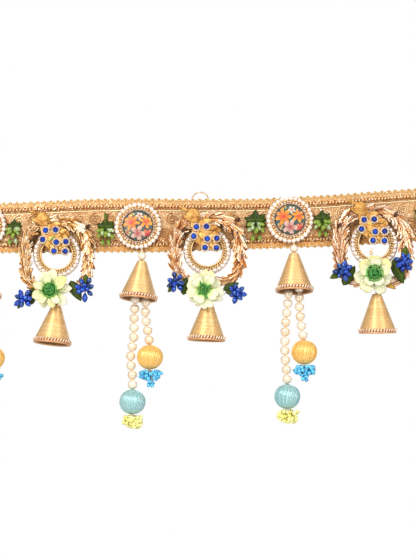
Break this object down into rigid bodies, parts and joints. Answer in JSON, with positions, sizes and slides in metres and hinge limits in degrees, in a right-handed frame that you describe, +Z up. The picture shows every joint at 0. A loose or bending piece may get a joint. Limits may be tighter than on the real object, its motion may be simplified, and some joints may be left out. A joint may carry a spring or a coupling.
{
  "type": "toran door hanging",
  "caption": "Gold braid toran: pearl-set medallions and leafy gold wreaths with flowers along the band, thread-wound cones, pearl strings, wound balls and bead tassels below.",
  "frame": {"origin": "halfway along the top edge of the gold band, at the band's front face", "axes": "+X to the right along the band as seen from the front, +Y to the wall behind, +Z up"},
  "size_m": [0.47, 0.0385, 0.2157],
  "materials": {
    "band_braid": "woven metallic braid, satin gold with glitter",
    "cone_thread": "wound gold thread, silky",
    "foil_leaves": "rose-gold metallised strips, shiny and creased",
    "charm_gold": "cast, polished yellow gold plate",
    "ring_wire": "thin plated wire, bright",
    "pearl": "imitation pearl, lustrous cream",
    "rim_beads": "small gold beads and braid",
    "rhinestones": "clear faceted stones in cup chain",
    "disc_picture": "printed disc under clear resin",
    "blue_stones": "faceted royal-blue stones",
    "yellow_thread": "wound yellow thread, silky",
    "teal_thread": "wound pale teal thread, silky",
    "blue_beads": "opaque sky-blue seed beads",
    "yellow_beads": "opaque lemon seed beads",
    "petals": "stiffened cloth petals, cream shaded to green",
    "blue_buds": "moulded buds coated with fine blue glitter",
    "leaves": "stiffened cloth leaf with veins",
    "green_buds": "moulded green buds, some frosted white"
  },
  "bodies": {
    "root": {"band": "band_braid", "hanging_ring_left": "ring_wire", "hanging_ring_middle": "ring_wire", "hanging_ring_right": "ring_wire", "medallion_1": "rim_beads", "strands_1": "pearl", "cone_m1": "cone_thread", "ball_teal_1": "teal_thread", "tassel_teal_1": "yellow_beads", "ball_yellow_1": "yellow_thread", "tassel_yellow_1": "blue_beads", "medallion_2": "rim_beads", "strands_2": "pearl", "cone_m2": "cone_thread", "ball_teal_2": "teal_thread", "tassel_teal_2": "yellow_beads", "ball_yellow_2": "yellow_thread", "tassel_yellow_2": "blue_beads", "medallion_3": "rim_beads", "strands_3": "pearl", "cone_m3": "cone_thread", "ball_teal_3": "teal_thread", "tassel_teal_3": "yellow_beads", "ball_yellow_3": "yellow_thread", "tassel_yellow_3": "blue_beads", "medallion_4": "rim_beads", "strands_4": "pearl", "cone_m4": "cone_thread", "ball_teal_4": "teal_thread", "tassel_teal_4": "yellow_beads", "ball_yellow_4": "yellow_thread", "tassel_yellow_4": "blue_beads", "wreath_1": "foil_leaves", "open_ring_1": "rim_beads", "charm_1": "charm_gold", "flower_1": "petals", "cone_w1": "cone_thread", "buds_1_left": "blue_buds", "buds_1_right": "blue_buds", "wreath_2": "foil_leaves", "open_ring_2": "rim_beads", "charm_2": "charm_gold", "flower_2": "petals", "cone_w2": "cone_thread", "buds_2_left": "blue_buds", "buds_2_right": "blue_buds", "wreath_3": "foil_leaves", "open_ring_3": "rim_beads", "charm_3": "charm_gold", "flower_3": "petals", "cone_w3": "cone_thread", "buds_3_left": "blue_buds", "buds_3_right": "blue_buds", "leaf_1": "leaves", "leaf_2": "leaves", "leaf_3": "leaves", "leaf_4": "leaves", "leaf_5": "leaves"}
  },
  "joints": []
}
